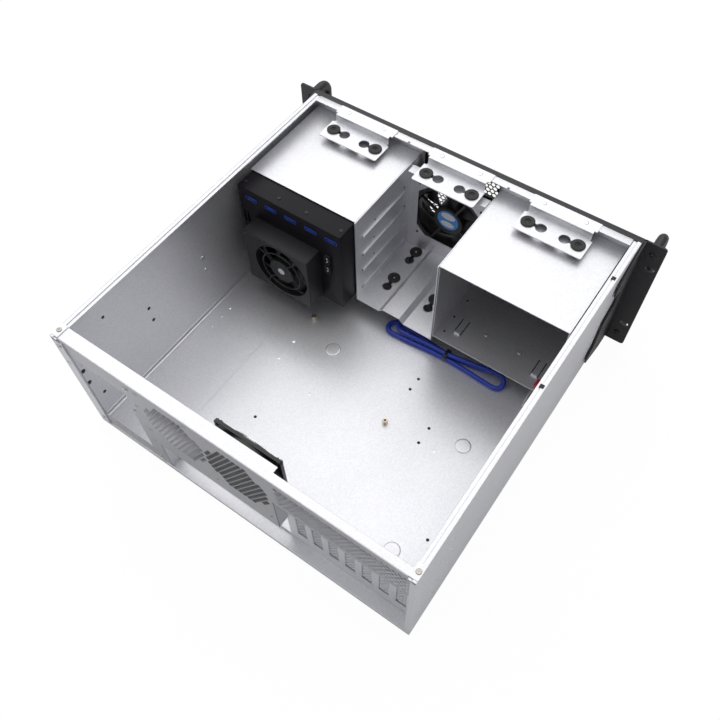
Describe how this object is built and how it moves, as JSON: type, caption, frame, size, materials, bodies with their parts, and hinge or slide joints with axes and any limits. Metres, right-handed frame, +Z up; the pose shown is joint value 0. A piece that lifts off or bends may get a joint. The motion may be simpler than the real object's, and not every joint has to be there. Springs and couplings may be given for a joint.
{
  "type": "empty rackmount server case",
  "caption": "Open 4U rack case with lid off: folded tray, front drive cages, hot-swap drive module, middle drive bay, fans, rear slot recess, rack ears and bow handles.",
  "frame": {"origin": "on the underside of the floor, midway between the side walls, 220.5 mm in front of the rear edge", "axes": "+X to the left when seen from the rear with the case upright, -Y out of the front, +Z up"},
  "size_m": [0.4826, 0.4841, 0.1791],
  "materials": {
    "black_coat": "fine matt powder coat",
    "black_plastic": "satin moulded",
    "blue_cable": "soft sheath",
    "blue_plastic": "moulded",
    "board": "coated laminate",
    "brass": "machined",
    "galvanised": "dull zinc-coated sheet",
    "red_plastic": "moulded",
    "rubber": "matt",
    "white_plastic": "moulded",
    "zinc": "bright plated"
  },
  "bodies": {
    "case": {"bay_cover_1": "black_plastic", "bay_cover_2": "black_plastic", "bay_cover_3": "black_plastic", "bay_grommets": "rubber", "bracket_grommets": "rubber", "bracket_left": "galvanised", "bracket_middle": "galvanised", "bracket_right": "galvanised", "bracket_rivets": "zinc", "cable_hank": "blue_cable", "cable_tie": "black_plastic", "chassis_tray": "galvanised", "data_sockets": "blue_plastic", "drive_cage_left": "galvanised", "drive_cage_right": "galvanised", "ear_left": "black_coat", "ear_right": "black_coat", "front_board": "board", "front_fan_frame": "black_plastic", "front_fascia": "black_coat", "front_frame": "galvanised", "front_grille": "black_coat", "handle_left": "black_coat", "handle_right": "black_coat", "handle_screws": "black_coat", "hdd_cage": "galvanised", "lead_cord": "white_plastic", "lead_plug": "red_plastic", "module_fan_frame": "black_plastic", "module_housing": "black_coat", "module_screws": "black_coat", "module_shroud": "black_coat", "power_sockets": "white_plastic", "rear_fan_frame": "black_plastic", "rear_fan_guard": "zinc", "rear_panel": "galvanised", "slot_cover_1": "galvanised", "slot_cover_2": "galvanised", "slot_cover_3": "galvanised", "slot_cover_4": "galvanised", "slot_cover_5": "galvanised", "slot_cover_6": "galvanised", "slot_cover_7": "galvanised", "slot_frame": "galvanised", "slot_screws": "zinc", "standoffs": "brass", "supply_screws": "zinc", "usb_block": "black_plastic", "usb_cord": "blue_cable", "usb_plug": "black_plastic"},
    "front_rotor": {"front_fan_rotor": "black_plastic"},
    "rear_rotor": {"rear_fan_rotor": "black_plastic"},
    "module_rotor": {"module_fan_rotor": "black_plastic"},
    "power_key": {"power_button": "black_plastic"},
    "reset_key": {"reset_button": "black_plastic"},
    "tray_1": {"drive_tray_1": "black_plastic"},
    "tray_2": {"drive_tray_2": "black_plastic"},
    "tray_3": {"drive_tray_3": "black_plastic"},
    "tray_4": {"drive_tray_4": "black_plastic"},
    "tray_5": {"drive_tray_5": "black_plastic"}
  },
  "joints": [
    {"name": "front_fan_spin", "type": "hinge", "parent": "case", "child": "front_rotor", "pos_m": [0.003, -0.2056, 0.0955], "axis": [0, 1, 0], "continuous": true},
    {"name": "rear_fan_spin", "type": "hinge", "parent": "case", "child": "rear_rotor", "pos_m": [-0.014, 0.2054, 0.124], "axis": [0, 1, 0], "continuous": true},
    {"name": "module_fan_spin", "type": "hinge", "parent": "case", "child": "module_rotor", "pos_m": [0.133, -0.0411, 0.078], "axis": [0, 1, 0], "continuous": true},
    {"name": "power_press", "type": "slide", "parent": "case", "child": "power_key", "axis": [0, 1, 0], "range_m": [0, 0.0008], "stiffness_N_per_m": 600, "springref_m": -0.001},
    {"name": "reset_press", "type": "slide", "parent": "case", "child": "reset_key", "axis": [0, 1, 0], "range_m": [0, 0.0008], "stiffness_N_per_m": 600, "springref_m": -0.001},
    {"name": "tray_1_slide", "type": "slide", "parent": "case", "child": "tray_1", "axis": [0, -1, 0], "range_m": [0, 0.14]},
    {"name": "tray_2_slide", "type": "slide", "parent": "case", "child": "tray_2", "axis": [0, -1, 0], "range_m": [0, 0.14]},
    {"name": "tray_3_slide", "type": "slide", "parent": "case", "child": "tray_3", "axis": [0, -1, 0], "range_m": [0, 0.14]},
    {"name": "tray_4_slide", "type": "slide", "parent": "case", "child": "tray_4", "axis": [0, -1, 0], "range_m": [0, 0.14]},
    {"name": "tray_5_slide", "type": "slide", "parent": "case", "child": "tray_5", "axis": [0, -1, 0], "range_m": [0, 0.14]}
  ]
}
